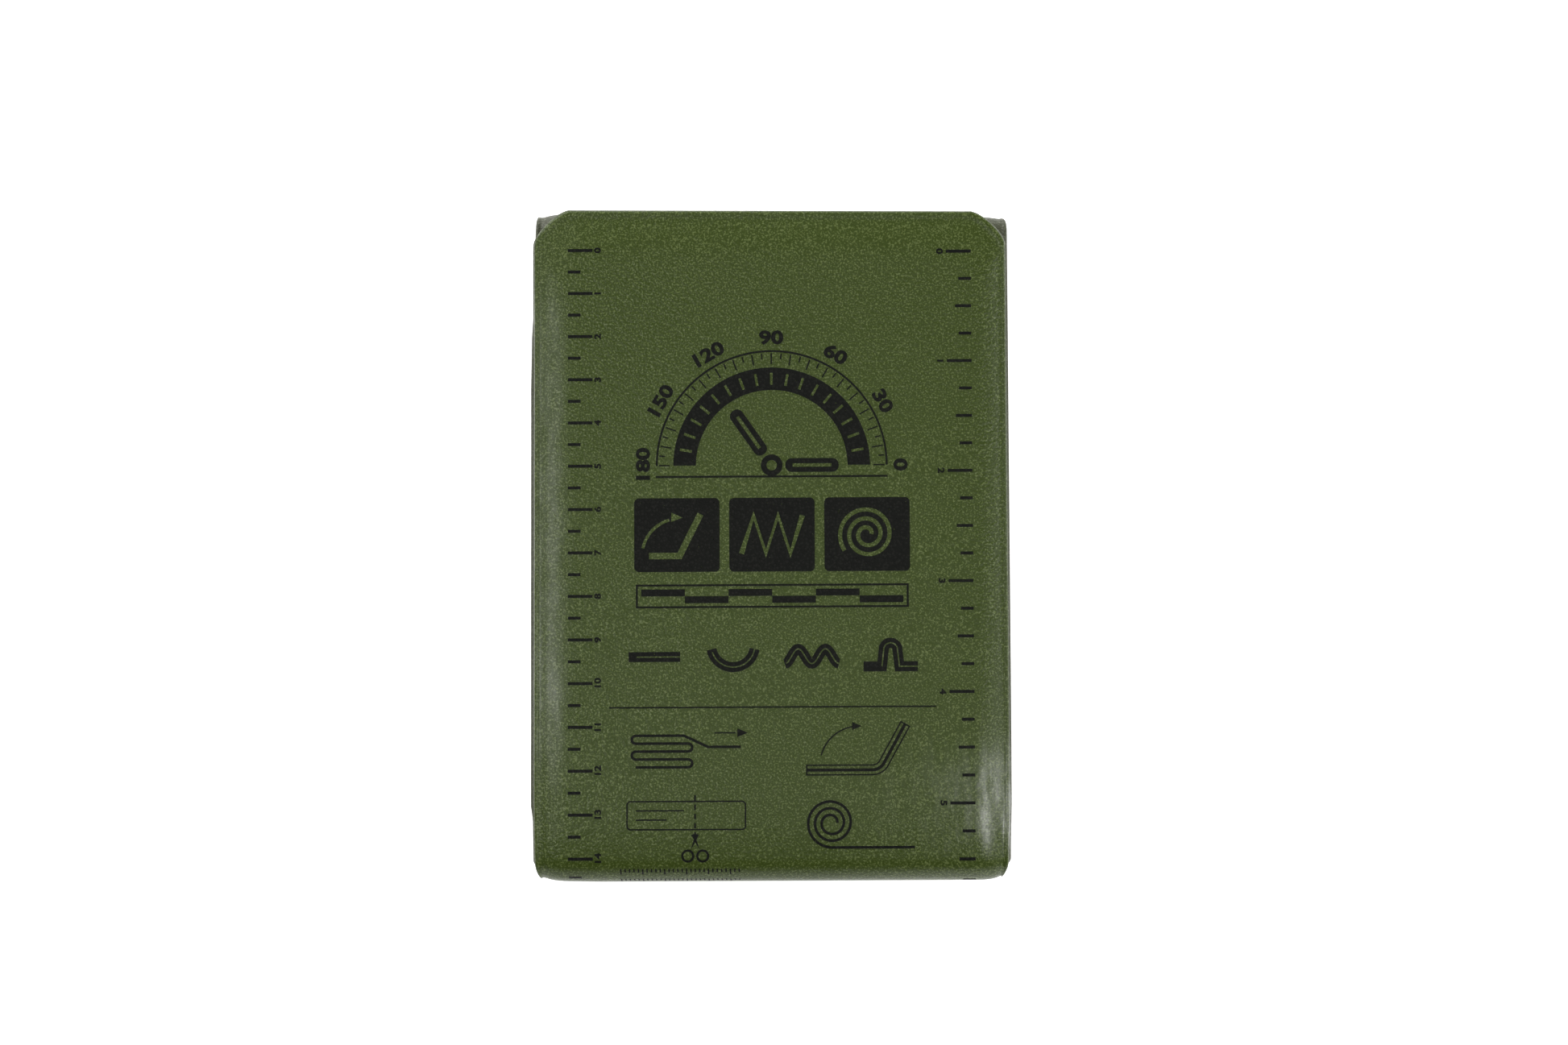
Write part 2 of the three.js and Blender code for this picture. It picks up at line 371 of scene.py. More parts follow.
def set_coordinates(piece, points):
    piece.data.vertices.foreach_set("co", points.ravel())
    piece.data.update()


def select_only(piece):
    """Makes a piece the only selected one, and the active one."""
    bpy.ops.object.select_all(action="DESELECT")
    piece.select_set(True)
    bpy.context.view_layer.objects.active = piece


def settle_normals(piece):
    """Merges doubled points and turns all faces outwards."""
    select_only(piece)
    bpy.ops.object.mode_set(mode="EDIT")
    bpy.ops.mesh.select_all(action="SELECT")
    bpy.ops.mesh.remove_doubles(threshold=MERGE_DISTANCE)
    bpy.ops.mesh.normals_make_consistent(inside=False)
    bpy.ops.object.mode_set(mode="OBJECT")


# A line round the border of a flat layer: how far in from the sides and the ends, and how high.
BorderLine = namedtuple("BorderLine", "side_inset end_inset height")


def raise_border(line, last):
    """Extrudes the raised face of a flat layer from its last border line to the next one."""
    half_width, half_length = STRIP_WIDTH / 2, STRIP_LENGTH / 2
    rise = (0, 0, line.height - last.height)
    bpy.ops.mesh.extrude_region_move(TRANSFORM_OT_translate={"value": rise})
    narrower = (half_width - line.side_inset) / (half_width - last.side_inset)
    shorter = (half_length - line.end_inset) / (half_length - last.end_inset)
    bpy.ops.transform.resize(value=(narrower, shorter, 1), center_override=(0, half_length, 0))


def flat_sheet(name, edge_inset):
    """A sheet as large as the strip with rounded corners, left open in edit mode."""
    bpy.ops.object.select_all(action="DESELECT")
    bpy.ops.mesh.primitive_plane_add(size=1, location=(0, STRIP_LENGTH / 2, SEAM_CLEARANCE / 2))
    sheet = bpy.context.object
    sheet.name = name
    sheet.scale = (STRIP_WIDTH - 2 * edge_inset, STRIP_LENGTH - 2 * edge_inset, 1)
    bpy.ops.object.transform_apply(location=True, rotation=False, scale=True)
    bpy.ops.object.mode_set(mode="EDIT")
    bpy.ops.mesh.select_all(action="SELECT")
    bpy.ops.mesh.bevel(
        affect="VERTICES", offset=CORNER_RADIUS - edge_inset,
        segments=CORNER_SEGMENTS, profile=CORNER_FULLNESS,
    )
    return sheet


def work_border(edge_inset):
    """Raises a sheet in edit mode to a layer that thins out towards its edge."""
    bpy.ops.mesh.select_all(action="SELECT")
    edge_height = EDGE_HEIGHT_SHARE * FACE_HEIGHT
    rise = edge_height - SEAM_CLEARANCE / 2
    bpy.ops.mesh.extrude_region_move(TRANSFORM_OT_translate={"value": (0, 0, rise)})
    last = BorderLine(edge_inset, edge_inset, edge_height)
    for share, height in BORDER_STEPS:
        side_inset = edge_inset + share * (SIDE_BORDER - edge_inset)
        end_inset = edge_inset + share * (END_BORDER - edge_inset)
        line = BorderLine(side_inset, end_inset, height * FACE_HEIGHT)
        raise_border(line, last)
        last = line
    bpy.ops.mesh.select_all(action="SELECT")
    bpy.ops.mesh.normals_make_consistent(inside=False)


def soften(layer):
    """Rounds a layer off by one level of subdivision."""
    rounding = layer.modifiers.new("soften", "SUBSURF")
    rounding.levels = 1
    rounding.render_levels = 1
    rounding.use_limit_surface = False
    bpy.ops.object.modifier_apply(modifier="soften")


def foam_layer(name, edge_inset, facing):
    """One foam layer, worked flat from a sheet and then folded. facing is 1 for the printed side."""
    layer = flat_sheet(name, edge_inset)
    work_border(edge_inset)
    cut_across(1, bending_cuts())
    half_face = STRIP_WIDTH / 2 - SIDE_BORDER - FACE_MARGIN
    cut_across(0, np.linspace(-half_face, half_face, FACE_COLUMNS))
    bpy.ops.object.mode_set(mode="OBJECT")
    soften(layer)
    points = coordinates(layer)
    near_end = np.clip(1 - points[:, 1] / END_SKEW_REACH, 0, 1) ** 2
    points[:, 1] += END_SKEW * (points[:, 0] / STRIP_WIDTH + 0.5) * near_end
    inner = points[:, 2] < SEAM_CLEARANCE
    over_metal = np.abs(points[:, 0]) < STRIP_WIDTH / 2 - SIDE_BORDER
    over_metal &= np.abs(points[:, 1] - STRIP_LENGTH / 2) < STRIP_LENGTH / 2 - END_BORDER
    points[inner & over_metal, 2] = CORE_THICKNESS / 2 + CORE_CLEARANCE
    points[:, 2] *= facing
    set_coordinates(layer, fold_strip(points))
    settle_normals(layer)
    bpy.ops.object.shade_smooth()
    return layer


# Print

def inked(name, outlines):
    """A thin film of ink inside the outlines. An outline inside another leaves a hole."""
    curve = bpy.data.curves.new(name, "CURVE")
    curve.dimensions = "2D"
    curve.fill_mode = "BOTH"
    curve.extrude = INK_THICKNESS / 2
    for outline in outlines:
        spline = curve.splines.new("POLY")
        spline.points.add(len(outline) - 1)
        for point, (x, along) in zip(spline.points, outline):
            point.co = (x, along, 0, 1)
        spline.use_cyclic_u = True
    film = bpy.data.objects.new(name, curve)
    bpy.context.scene.collection.objects.link(film)
    return made_mesh(film)


def made_mesh(film):
    """Turns flat ink from a curve or text into a mesh at the origin."""
    select_only(film)
    bpy.ops.object.convert(target="MESH")
    bpy.ops.object.transform_apply(location=True, rotation=True, scale=True)
    return bpy.context.object


def number_ink(value, x, along, turn, height):
    """A printed number with its middle at a place on the face.

    Distances along the face run down the page, so the number is mirrored here, and the folding
    turns it the right way round.
    """
    bpy.ops.object.select_all(action="DESELECT")
    bpy.ops.object.text_add(location=(x, along, 0), rotation=(0, 0, -turn))
    film = bpy.context.object
    film.scale = (NUMBER_WIDENING, -1, 1)
    film.data.body = str(value)
    film.data.size = height / DIGIT_SHARE_OF_SIZE
    film.data.resolution_u = 3
    film.data.extrude = INK_THICKNESS / 2
    film.data.offset = NUMBER_WEIGHT * film.data.size
    film.data.align_x = "CENTER"
    film.data.align_y = "CENTER"
    return made_mesh(film)


def joined(name, films):
    """One piece of ink from several."""
    bpy.ops.object.select_all(action="DESELECT")
    for film in films:
        film.select_set(True)
    bpy.context.view_layer.objects.active = films[0]
    bpy.ops.object.join()
    films[0].name = name
    return films[0]


def lay_print(film, cuts):
    """Lays flat ink on the printed face of the folded strip, cut so that it can bend with it."""
    select_only(film)
    points = coordinates(film)
    points[:, 1] = strip_place(points[:, 1])
    set_coordinates(film, points)
    bpy.ops.object.mode_set(mode="EDIT")
    cut_across(1, cuts)
    bpy.ops.object.mode_set(mode="OBJECT")
    points = coordinates(film)
    points[:, 2] += FACE_HEIGHT + INK_LIFT + INK_THICKNESS / 2
    set_coordinates(film, fold_strip(points))
    settle_normals(film)
    return film


def bar(x_from, x_to, along, thickness):
    """The outline of one tick of a scale."""
    low, high = along - thickness / 2, along + thickness / 2
    return [(x_from, low), (x_to, low), (x_to, high), (x_from, high)]


def ruler_ink(ruler):
    """A ruler along the whole strip."""
    outward_folds = PANEL_COUNT // 2
    printed_length = STRIP_LENGTH + outward_folds * (math.pi * FOLD_REACH - FOLD_ARC)
    count = int((printed_length - END_BORDER - ruler.zero) / ruler.step)
    ticks = []
    films = []
    for number in range(count + 1):
        along = ruler.zero + number * ruler.step
        mark, turn = divmod(number, len(ruler.ticks))
        tick_end = ruler.ticks_from + ruler.side * ruler.ticks[turn]
        ticks.append(bar(ruler.ticks_from, tick_end, along, TICK_THICKNESS))
        if turn == 0:
            films.append(number_ink(mark, ruler.numbers_at, along, ruler.turn, DIGIT_HEIGHT))
    films.insert(0, inked(ruler.name, ticks))
    return joined(ruler.name, films)


# Figures of the print. Their points are in millimetres, x to the right and y down the page,
# from the middle of the strip's front end.

FINE_LINE = 0.32
FIGURE_LINE = 0.45
PRINT_MIDDLE = 0.3
MITRE_LIMIT = 0.35
DIAL_MIDDLE = (PRINT_MIDDLE, 60.0)
DIAL_RIM = 26.4
DIAL_NUMBERS = 29.4
TILE_TOP = 67.5
TILE_BOTTOM = 84.5
TILE_HALF_WIDTH = 9.8
TILE_SPACING = 21.8
BAR_TOP = 87.6
BAR_BOTTOM = 92.6
BAR_CELL = 10.0
BAR_CELLS = 6
SECTIONS_AT = 104.0
SECTION_SPACING = 18
RULE_AT = 115.4
CUT_AT = -17.5
FOLD_MARK_ROWS = (152.4, 155.6)
FOLD_MARK_COUNT = 28


def stroke(points, width, closed=False):
    """The outline of a line of some width through points, with mitred corners."""
    path = np.array(points, float)
    fresh = np.linalg.norm(np.diff(path, axis=0), axis=1) > 1e-6
    path = path[np.concatenate(([True], fresh))]
    ahead = np.roll(path, -1, axis=0) - path
    if not closed:
        ahead[-1] = ahead[-2]
    ahead /= np.linalg.norm(ahead, axis=1, keepdims=True)
    behind = np.roll(ahead, 1, axis=0)
    if not closed:
        behind[0] = ahead[0]
    square_ahead = np.column_stack((-ahead[:, 1], ahead[:, 0]))
    square_behind = np.column_stack((-behind[:, 1], behind[:, 0]))
    reach = 1 + np.sum(square_ahead * square_behind, axis=1, keepdims=True)
    aside = (square_ahead + square_behind) / np.maximum(reach, MITRE_LIMIT) * width / 2
    if closed:
        return [path + aside, path - aside]
    return [np.vstack((path + aside, (path - aside)[::-1]))]


def arc(centre, radius, start, end, steps=24):
    """Points of an arc. Angles are in degrees, 0 to the right and 90 up the page."""
    turns = np.radians(np.linspace(start, end, steps + 1))
    return np.column_stack((centre[0] + radius * np.cos(turns), centre[1] - radius * np.sin(turns)))


def disc(centre, radius, steps=32):
    return arc(centre, radius, 0, 360, steps)[:-1]


def band(centre, inner, outer, start, end, steps=60):
    """A closed outline between two arcs."""
    return np.vstack((arc(centre, outer, start, end, steps), arc(centre, inner, end, start, steps)))


def box(left, right, top, bottom, radius=0.0):
    """A closed outline of a box with round corners."""
    if radius == 0:
        return np.array([(left, top), (right, top), (right, bottom), (left, bottom)], float)
    corners = (
        ((right - radius, top + radius), 90, 0), ((right - radius, bottom - radius), 0, -90),
        ((left + radius, bottom - radius), -90, -180), ((left + radius, top + radius), 180, 90),
    )
    return np.vstack([arc(centre, radius, start, end, 5) for centre, start, end in corners])


def moved(points, x, y, turn=0.0):
    """Points turned about their origin, in degrees, and moved."""
    c, s = math.cos(math.radians(turn)), math.sin(math.radians(turn))
    px, py = np.array(points, float).T
    return np.column_stack((x + c * px + s * py, y - s * px + c * py))


def spiral(centre, inner, outer, turns, steps=90):
    angle = np.linspace(0, turns * 2 * math.pi, steps)
    radius = np.linspace(inner, outer, steps)
    return np.column_stack((centre[0] + radius * np.cos(angle), centre[1] - radius * np.sin(angle)))


def arrow_head(tip, turn, size):
    """A filled arrow head that points to the right before it is turned."""
    return moved([(0, 0), (-size, -size * 0.42), (-size, size * 0.42)], *tip, turn)


def films_of(name, figures):
    """Ink for figures, each a list of outlines in millimetres."""
    return [inked(name, [np.array(outline) * MM for outline in figure]) for figure in figures]


def angle_dial():
    """A half-round scale of angles from 0 to 180 with two hinged arms."""
    slot = box(18.6, 21.4, -0.3, 0.3)
    slots = [moved(slot, *DIAL_MIDDLE, angle) for angle in range(10, 180, 10)]
    figures = [[band(DIAL_MIDDLE, 17.4, 22.6, 0, 180), *slots]]
    figures.append(stroke(arc(DIAL_MIDDLE, DIAL_RIM, 0, 180, 90), FIGURE_LINE))
    for angle in range(0, 181, 5):
        inner = 23.4 if angle % 10 == 0 else 24.6
        figures.append([moved(box(inner, DIAL_RIM - 0.5, -0.16, 0.16), *DIAL_MIDDLE, angle)])
    x, y = DIAL_MIDDLE
    base = y + 2.6
    figures.append(stroke([(x - 26.6, base), (x + 26.6, base)], FIGURE_LINE))
    for angle in (0, 125):
        arm = moved(box(3.1, 15.4, -1.6, 1.6, 1.5), *DIAL_MIDDLE, angle)
        slot = moved(box(4.8, 13.7, -0.4, 0.4), *DIAL_MIDDLE, angle)
        figures.append([arm, slot])
    figures.append([disc(DIAL_MIDDLE, 2.5), disc(DIAL_MIDDLE, 1.2)])
    films = films_of("angle_dial", figures)
    for angle in range(0, 181, 30):
        x, y = moved([(DIAL_NUMBERS, 0)], *DIAL_MIDDLE, angle)[0] * MM
        films.append(number_ink(angle, x, y, math.radians(angle - 90), DIAL_DIGIT_HEIGHT))
    return joined("angle_dial", films)


def way_tiles():
    """Three black tiles with bare figures: a bend, a folded strip and a roll."""
    bend = [(-6.4, 4.8), (0.6, 4.8), (5.4, -4.8)]
    sweep = arc((0.6, 4.8), 8.6, 168, 106, 10)
    fold = [(-7, 4.4), (-4.2, -4.4), (-1.4, 4.4), (1.4, -4.4), (4.2, 4.4), (7, -4.4)]
    motifs = (
        [*stroke(bend, 1.5), *stroke(sweep, 0.7), arrow_head((1.3, -4.0), -2, 2.6)],
        stroke(fold, 1.2),
        stroke(spiral((0, 0), 1.0, 6.4, 2.6), 0.95),
    )
    middle_y = (TILE_TOP + TILE_BOTTOM) / 2
    figures = []
    for number, motif in enumerate(motifs):
        x = PRINT_MIDDLE + TILE_SPACING * (number - 1)
        tile = box(x - TILE_HALF_WIDTH, x + TILE_HALF_WIDTH, TILE_TOP, TILE_BOTTOM, 1.1)
        figures.append([tile, *(moved(outline, x, middle_y) for outline in motif)])
    return joined("way_tiles", films_of("way_tiles", figures))


def length_bar():
    """A framed bar of alternating cells, a centimetre each."""
    cells_from = PRINT_MIDDLE - BAR_CELLS * BAR_CELL / 2
    frame_from, frame_to = cells_from - 1, cells_from + BAR_CELLS * BAR_CELL + 1
    figures = [stroke(box(frame_from, frame_to, BAR_TOP, BAR_BOTTOM), FIGURE_LINE, closed=True)]
    rows = ((BAR_TOP + 0.9, BAR_TOP + 2.5), (BAR_TOP + 2.5, BAR_BOTTOM - 0.9))
    for number in range(BAR_CELLS):
        start = cells_from + number * BAR_CELL
        figures.append([box(start, start + BAR_CELL, *rows[number % 2])])
    return joined("length_bar", films_of("length_bar", figures))


def section_row():
    """Four ways to shape the strip, each drawn as its section."""
    flat = [(-5.9, 0), (-4, 0), (4, 0), (5.9, 0)]
    hollow = arc((0, -2.6), 5.0, 190, 350, 20)
    waves = np.column_stack((np.linspace(-6.2, 6.2, 41), 1.7 * np.cos(np.linspace(0, 4 * math.pi, 41))))
    ridge = [(-6.2, 2.4), (-2.0, 2.4), *arc((0, -1.4), 1.6, 160, 20, 8), (2.0, 2.4), (6.2, 2.4)]
    figures = []
    for number, section in enumerate((flat, hollow, waves, ridge)):
        x = PRINT_MIDDLE + SECTION_SPACING * (number - 1.5)
        placed = moved(section, x, SECTIONS_AT)
        figures.append([stroke(placed, 2.3)[0], stroke(placed, 0.3)[0][1:-1]])
    return joined("section_row", films_of("section_row", figures))


def opened_pack():
    """The folded pack with its top end pulled out."""
    pack = [(-31, 129.2), (-19, 129.2)]
    for row in range(4):
        turn_x, end = (-19, 90) if row % 2 == 0 else (-31, -270)
        pack += list(arc((turn_x, 128.3 - 1.8 * row), 0.9, -90, end, 8))
    pack += [(-20, 122.0), (-14.5, 124.6), (-7.0, 124.6)]
    shaft = stroke([(-13.0, 121.4), (-8.2, 121.4)], FINE_LINE)
    return [stroke(pack, 0.6), shaft, [arrow_head((-5.4, 121.4), 0, 2.4)]]


def bent_strip():
    """The strip from its side with one end bent up."""
    strip = [(8, 130.0), (23, 130.0), *arc((23, 127.0), 3.0, -88, -22, 6), (30.5, 119.6)]
    skin = stroke(strip, 2.2)[0]
    sweep = stroke(arc((20, 129.0), 9.0, 165, 100, 14), FINE_LINE)
    arrow = [arrow_head((20.6, 120.0), 0, 2.2)]
    return [stroke(skin, FINE_LINE, closed=True), stroke(strip, 0.7), sweep, arrow]


def cut_strip():
    """A length of strip with a dashed line across it and scissors below."""
    figures = [stroke(box(-33, -6, 137.0, 143.4, 0.8), FINE_LINE, closed=True)]
    for number in range(5):
        dash = 135.6 + number * 2.1
        figures.append([box(CUT_AT - 0.2, CUT_AT + 0.2, dash, dash + 1.25)])
    figures.append(stroke([(-31, 139.1), (-20, 139.1)], FINE_LINE))
    figures.append(stroke([(-31, 141.2), (-24, 141.2)], FINE_LINE))
    for side in (-1, 1):
        ring = disc((CUT_AT + side * 1.7, 149.4), 1.25, 20)
        figures.append(stroke(ring, 0.5, closed=True))
        blade = [(CUT_AT + side * 1.1, 148.2), (CUT_AT - side * 0.9, 144.6), (CUT_AT - side * 0.15, 144.4)]
        figures.append([np.array(blade)])
    return figures


def rolled_strip():
    roll = spiral((13.5, 142.0), 1.4, 5.6, 2.75)
    return [stroke([*roll, (32.5, 147.6)], 0.6)]


def use_drawings():
    """Line drawings below a thin rule: pulling the pack open, a bend, a cut and a roll."""
    rule = [box(-37.0, 37.6, RULE_AT, RULE_AT + 0.35)]
    figures = [rule, *opened_pack(), *bent_strip(), *cut_strip(), *rolled_strip()]
    return joined("use_drawings", films_of("use_drawings", figures))


def fold_marks():
    """Two rows of fine ticks that run along the first fold."""
    figures = []
    for number in range(FOLD_MARK_COUNT):
        x = -34.7 + number
        tall = 1.5 if number % 5 == 0 else 0.9
        for row in FOLD_MARK_ROWS:
            figures.append([box(x, x + FINE_LINE, row, row + tall)])
    return joined("fold_marks", films_of("fold_marks", figures))


# Finishes

class Wire:
    """An output of a node that can be used in sums and products."""

    def __init__(self, sheet, socket):
        self.sheet = sheet
        self.socket = socket

    def __add__(self, other):
        return self.sheet.maths("ADD", self, other)

    __radd__ = __add__

    def __sub__(self, other):
        return self.sheet.maths("SUBTRACT", self, other)

    def __rsub__(self, other):
        return self.sheet.maths("SUBTRACT", other, self)

    def __mul__(self, other):
        return self.sheet.maths("MULTIPLY", self, other)

    __rmul__ = __mul__

    def step(self, low, high):
        """0 below low, 1 above high and smooth between them."""
        settings = {"interpolation_type": "SMOOTHSTEP"}
        sockets = {"Value": self, "From Min": low, "From Max": high}
        return self.sheet.node("ShaderNodeMapRange", settings, sockets)


class NodeSheet:
    """The nodes of a material or of the sky."""

    def __init__(self, tree):
        self.tree = tree
        tree.nodes.clear()

    def feed(self, socket, value):
        if isinstance(value, Wire):
            self.tree.links.new(value.socket, socket)
        else:
            socket.default_value = value

    def made(self, kind, settings, sockets):
        """A node with its settings made first, then its sockets, given as values or wires."""
        node = self.tree.nodes.new(kind)
        for name, value in settings.items():
            setattr(node, name, value)
        for name, value in sockets.items():
            self.feed(node.inputs[name], value)
        return node

    def node(self, kind, settings, sockets, out=0):
        """The same, as a wire from one of its outputs."""
        return Wire(self, self.made(kind, settings, sockets).outputs[out])

    def maths(self, operation, a, b):
        return self.node("ShaderNodeMath", {"operation": operation}, {0: a, 1: b})


class Finish(NodeSheet):
    """A procedural material around one Principled shader."""

    def __init__(self, name):
        self.material = bpy.data.materials.new(name)
        self.material.use_nodes = True
        super().__init__(self.material.node_tree)
        self.skin = self.made("ShaderNodeBsdfPrincipled", {}, {})
        surface = Wire(self, self.skin.outputs["BSDF"])
        self.made("ShaderNodeOutputMaterial", {}, {"Surface": surface})
        self.place = self.node("ShaderNodeTexCoord", {}, {}, "Object")
        self.along = [self.node("ShaderNodeSeparateXYZ", {}, {0: self.place}, axis) for axis in range(3)]

    def noise(self, scale, detail=2.0, roughness=0.5, place=None):
        sockets = {
            "Vector": place or self.place, "Scale": scale,
            "Detail": detail, "Roughness": roughness,
        }
        return self.node("ShaderNodeTexNoise", {}, sockets)

    def cells(self, scale, place):
        return self.node("ShaderNodeTexVoronoi", {}, {"Vector": place, "Scale": scale})

    def mapped(self, scale, rotation=(0, 0, 0)):
        sockets = {"Vector": self.place, "Scale": scale, "Rotation": rotation}
        return self.node("ShaderNodeMapping", {}, sockets)

    def shifted(self, noise, distance):
        """The place moved by a noise, so that what follows it looks less even."""
        push = self.node("ShaderNodeVectorMath", {"operation": "SCALE"}, {0: noise, "Scale": distance})
        return self.node("ShaderNodeVectorMath", {"operation": "ADD"}, {0: self.place, 1: push})

    def after(self, axis, low, high):
        """0 where the place along an axis is below low and 1 above high."""
        return self.along[axis].step(low, high)

    def before(self, axis, low, high):
        """1 where the place along an axis is below low and 0 above high."""
        return 1 - self.after(axis, low, high)

    def colours(self, mask, low, high):
        """A blend from one colour to another."""
        sockets = {0: mask, 6: (*low, 1), 7: (*high, 1)}
        return self.node("ShaderNodeMix", {"data_type": "RGBA"}, sockets, 2)

    def bump(self, height, distance, strength):
        sockets = {"Height": height, "Distance": distance, "Strength": strength}
        return self.node("ShaderNodeBump", {}, sockets)

    def set(self, **values):
        for name, value in values.items():
            self.feed(self.skin.inputs[name.replace("_", " ")], value)


def grain(finish):
    """The pebbled skin of closed-cell foam, as a height from 0 to 1."""
    wander = finish.noise(PEBBLE_SCALE, detail=1.0)
    pebbles = finish.cells(PEBBLE_SCALE, finish.shifted(wander, PEBBLE_WANDER))
    fine = finish.noise(FINE_GRAIN_SCALE, detail=2.0)
    return (1 - pebbles * 1.3) * 0.65 + fine * 0.35


def near_front_fold(finish):
    """1 on the right of the face near the first fold, fading out up the face and to the left."""
    return finish.after(0, 5 * MM, 48 * MM) * finish.before(1, -66 * MM, -38 * MM)


def near_front_corner(finish):
    """1 by the right end of the first fold, fading out all round it."""
    across = finish.after(0, 18 * MM, 50 * MM)
    return across * finish.before(1, -58 * MM, -40 * MM) * finish.after(1, -76 * MM, -66 * MM)


def rubbed_right(finish):
    """1 on the patch by the right edge that handling has polished."""
    patch = finish.after(0, 36 * MM, 47 * MM) * finish.after(1, -74 * MM, -66 * MM)
    return patch * finish.before(1, -61 * MM, -44 * MM)


def rubbed_left(finish):
    """1 on the band along the left edge that handling has polished."""
    band_across = finish.before(0, -51 * MM, -44 * MM) * finish.after(1, -62 * MM, -34 * MM)
    return band_across * finish.before(1, 50 * MM, 66 * MM)


def specks(finish):
    """Painted highlights: pale glints of light on the grain, closer at the front end, along the left side
    and on the right of the fold, where the skin catches more light.
    """
    glint_spots = finish.noise(PAINTED_GLINT_SCALE, detail=2.0, roughness=0.62)
    clouds = finish.noise(CLOUD_SCALE, detail=3.0)
    front_end = finish.after(1, 45 * MM, 74 * MM)
    left_side = finish.before(0, -53 * MM, -38 * MM)
    glint_crowding = front_end * 0.02 + left_side * 0.02 + near_front_fold(finish) * 0.03 + clouds * 0.03
    return (glint_spots + glint_crowding).step(0.51, 0.7)


def polish(finish, height):
    """How much of a smooth coat lies on the skin, most where it is rubbed."""
    streaks = finish.noise(STREAK_SCALE, detail=3.0, place=finish.mapped((1, 0.25, 1)))
    rubbed = rubbed_right(finish) * 1.3 + rubbed_left(finish) * 0.8
    worn = rubbed * (streaks.step(0.3, 0.7) * 0.6 + 0.3)
    worn = worn + near_front_fold(finish) * streaks * 0.3
    worn = worn + near_front_corner(finish) * streaks.step(0.35, 0.7) * 0.8
    return worn * (1.35 - height)


def foam_finish(name, ground, painted_glint, roughness):
    """Dark pebbled skin with painted highlights as pale glints on the grain, wrinkled and polished where
    the splint is bent most.
    """
    finish = Finish(name)
    height = grain(finish)
    # Painted highlights: pale glints of light on the grain, put into the base colour.
    mask = specks(finish)
    slanting = finish.mapped((1, 0.35, 1), rotation=(0, 0, 0.35))
    wrinkles = finish.noise(WRINKLE_SCALE, detail=2.0, place=slanting)
    relief = height + wrinkles * near_front_fold(finish) * 1.1 + wrinkles * near_front_corner(finish) * 0.9
    finish.set(
        Base_Color=finish.colours(mask, ground, painted_glint),
        Roughness=mask * -0.08 + roughness,
        Coat_Weight=polish(finish, height),
        Coat_Roughness=0.3,
        Normal=finish.bump(relief, SKIN_RELIEF, 0.8),
        Specular_IOR_Level=SKIN_SHEEN,
    )
    return finish.material


def ink_finish():
    """Black ink with a few pinholes where it has worn off the grain."""
    finish = Finish("print_ink")
    height = grain(finish)
    worn = finish.noise(INK_WEAR_SCALE, detail=2.5, roughness=0.62)
    # Painted shade and sheen: the ink is darker in the pits of the grain and lighter on its peaks.
    painted_grain_shade = height.step(0.35, 0.7)
    finish.set(
        Base_Color=finish.colours(painted_grain_shade, (0.0035, 0.004, 0.003), (0.009, 0.0095, 0.0075)),
        Roughness=height * -0.1 + 0.55,
        Alpha=1 - worn.step(0.68, 0.74),
        Normal=finish.bump(height, 0.09 * MM, 0.8),
        Specular_IOR_Level=0.1,
    )
    return finish.material


def aluminium_finish():
    """Soft rolled metal with fine lines along the strip."""
    finish = Finish("soft_aluminium")
    drawn = finish.noise(900, detail=3.0, place=finish.mapped((1, 0.02, 1)))
    finish.set(
        Base_Color=finish.colours(drawn, (0.62, 0.63, 0.64), (0.78, 0.79, 0.8)),
        Metallic=1.0,
        Roughness=drawn * 0.2 + 0.28,
        Normal=finish.bump(drawn, 0.02 * MM, 0.5),
    )
    return finish.material


def floor_finish():
    """A white floor that glows enough to hold no hard shadow."""
    finish = Finish("white_sweep")
    mottle = finish.noise(3, detail=2.0)
    finish.set(
        Base_Color=finish.colours(mottle, (0.88, 0.88, 0.88), (0.9, 0.9, 0.9)),
        Roughness=0.6,
        Emission_Color=(1, 1, 1, 1),
        Emission_Strength=FLOOR_GLOW,
    )
    return finish.material


def coat(piece, material):
    """Gives a piece its one material."""
    piece.data.materials.clear()
    piece.data.materials.append(material)


# The splint

front_foam = foam_layer("front_foam_skin", EDGE_STEP, 1)
back_foam = foam_layer("back_foam_skin", 0, -1)
coat(front_foam, foam_finish("printed_foam", OLIVE, OLIVE_PAINTED_GLINT, 0.36))
coat(back_foam, foam_finish("plain_foam", GREY_OLIVE, GREY_OLIVE_PAINTED_GLINT, 0.45))
for piece, node in ((front_foam, "front_foam"), (back_foam, "back_foam")):
    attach(piece, "root")
    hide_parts(node)

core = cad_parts["aluminium_core"]
coat(core, aluminium_finish())

ink = ink_finish()
fold_steps = [
    stretch.start + stretch.length * step / (2 * FOLD_CUTS)
    for stretch in COURSE if stretch.kind == "fold" for step in range(2 * FOLD_CUTS + 1)
]
first_fold_steps = fold_steps[:2 * FOLD_CUTS + 1]
face_steps = [FIRST_PANEL.length * step / INK_FACE_CUTS for step in range(1, INK_FACE_CUTS)]
films = [lay_print(ruler_ink(ruler), face_steps + fold_steps) for ruler in (CENTIMETRES, INCHES)]
for draw in (angle_dial, way_tiles, length_bar, section_row, use_drawings, fold_marks):
    films.append(lay_print(draw(), face_steps + first_fold_steps))
for film in films:
    coat(film, ink)
    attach(film, "root")

# Floor, light and camera

bpy.ops.object.select_all(action="DESELECT")
bpy.ops.mesh.primitive_plane_add(size=FLOOR_SIZE, location=(0, 0, -FLOOR_DROP))
floor = bpy.context.object
floor.name = "floor"
coat(floor, floor_finish())


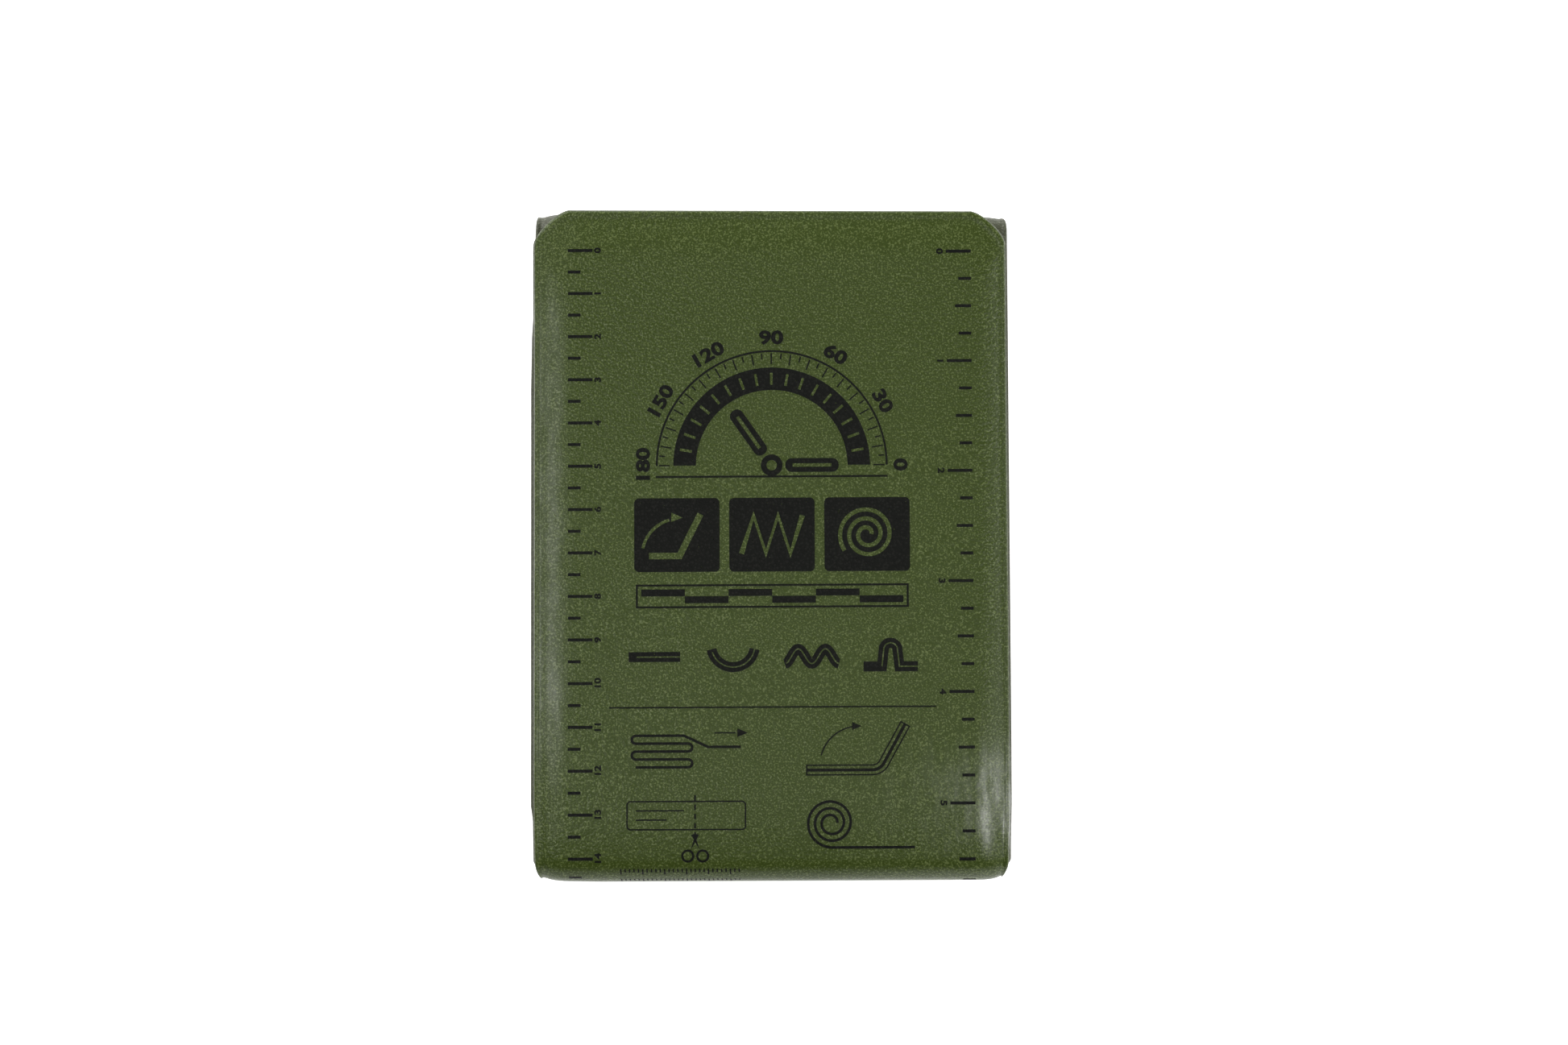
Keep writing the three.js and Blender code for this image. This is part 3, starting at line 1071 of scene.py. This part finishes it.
def studio_world():
    """A sky that is bright at the horizon and dark overhead."""
    world = bpy.data.worlds.new("studio")
    world.use_nodes = True
    sky = NodeSheet(world.node_tree)
    place = sky.node("ShaderNodeTexCoord", {}, {}, "Generated")
    fade = {
        "Value": sky.node("ShaderNodeSeparateXYZ", {}, {0: place}, "Z"),
        "From Min": SKY_FADE_FROM, "From Max": SKY_FADE_TO,
        "To Min": SKY_HORIZON, "To Max": SKY_ZENITH,
    }
    level = sky.node("ShaderNodeMapRange", {"interpolation_type": "SMOOTHSTEP"}, fade)
    background = sky.node("ShaderNodeBackground", {}, {"Strength": level})
    sky.made("ShaderNodeOutputWorld", {}, {"Surface": background})
    bpy.context.scene.world = world


def softbox(name, azimuth, from_zenith, width, height, power):
    """A soft light that faces the splint. Azimuth 0 is +X and 90 is +Y, in degrees."""
    turn, lean = math.radians(azimuth), math.radians(from_zenith)
    away = Vector((math.sin(lean) * math.cos(turn), math.sin(lean) * math.sin(turn), math.cos(lean)))
    light = bpy.data.lights.new(name, "AREA")
    light.shape = "RECTANGLE"
    light.size = width
    light.size_y = height
    light.energy = power
    lamp = bpy.data.objects.new(name, light)
    lamp.location = away * SOFTBOX_DISTANCE
    lamp.rotation_euler = away.to_track_quat("Z", "Y").to_euler()
    bpy.context.scene.collection.objects.link(lamp)


studio_world()
softbox("rear_softbox", 118, 60, 0.7, 0.7, 12.0)
softbox("right_softbox", 10, 55, 0.5, 0.5, 8.0)
softbox("front_right_softbox", -14, 23, 0.22, 0.3, 3.0)
softbox("left_softbox", 180, 20, 0.2, 0.6, 3.6)


def place_camera():
    """Looks down on the splint from the photograph's side, a little from its folded end."""
    ahead = Vector((math.sin(CAMERA_LEAN), math.sin(CAMERA_TILT), -math.cos(CAMERA_TILT))).normalized()
    right = ahead.cross(Vector((0, 1, 0))).normalized()
    up = right.cross(ahead)
    turned_right = right * math.cos(CAMERA_ROLL) + up * math.sin(CAMERA_ROLL)
    turned_up = up * math.cos(CAMERA_ROLL) - right * math.sin(CAMERA_ROLL)
    camera = bpy.data.objects.new("camera", bpy.data.cameras.new("camera"))
    camera.data.sensor_fit = "HORIZONTAL"
    camera.data.sensor_width = SENSOR_WIDTH
    camera.data.lens = FOCAL_LENGTH
    camera.data.clip_start = 0.01
    turn = Matrix((turned_right, turned_up, -ahead)).transposed().to_4x4()
    camera.matrix_world = Matrix.Translation(AIM - ahead * CAMERA_DISTANCE) @ turn
    bpy.context.scene.collection.objects.link(camera)
    bpy.context.scene.camera = camera


place_camera()
bpy.context.scene.view_settings.view_transform = "Standard"
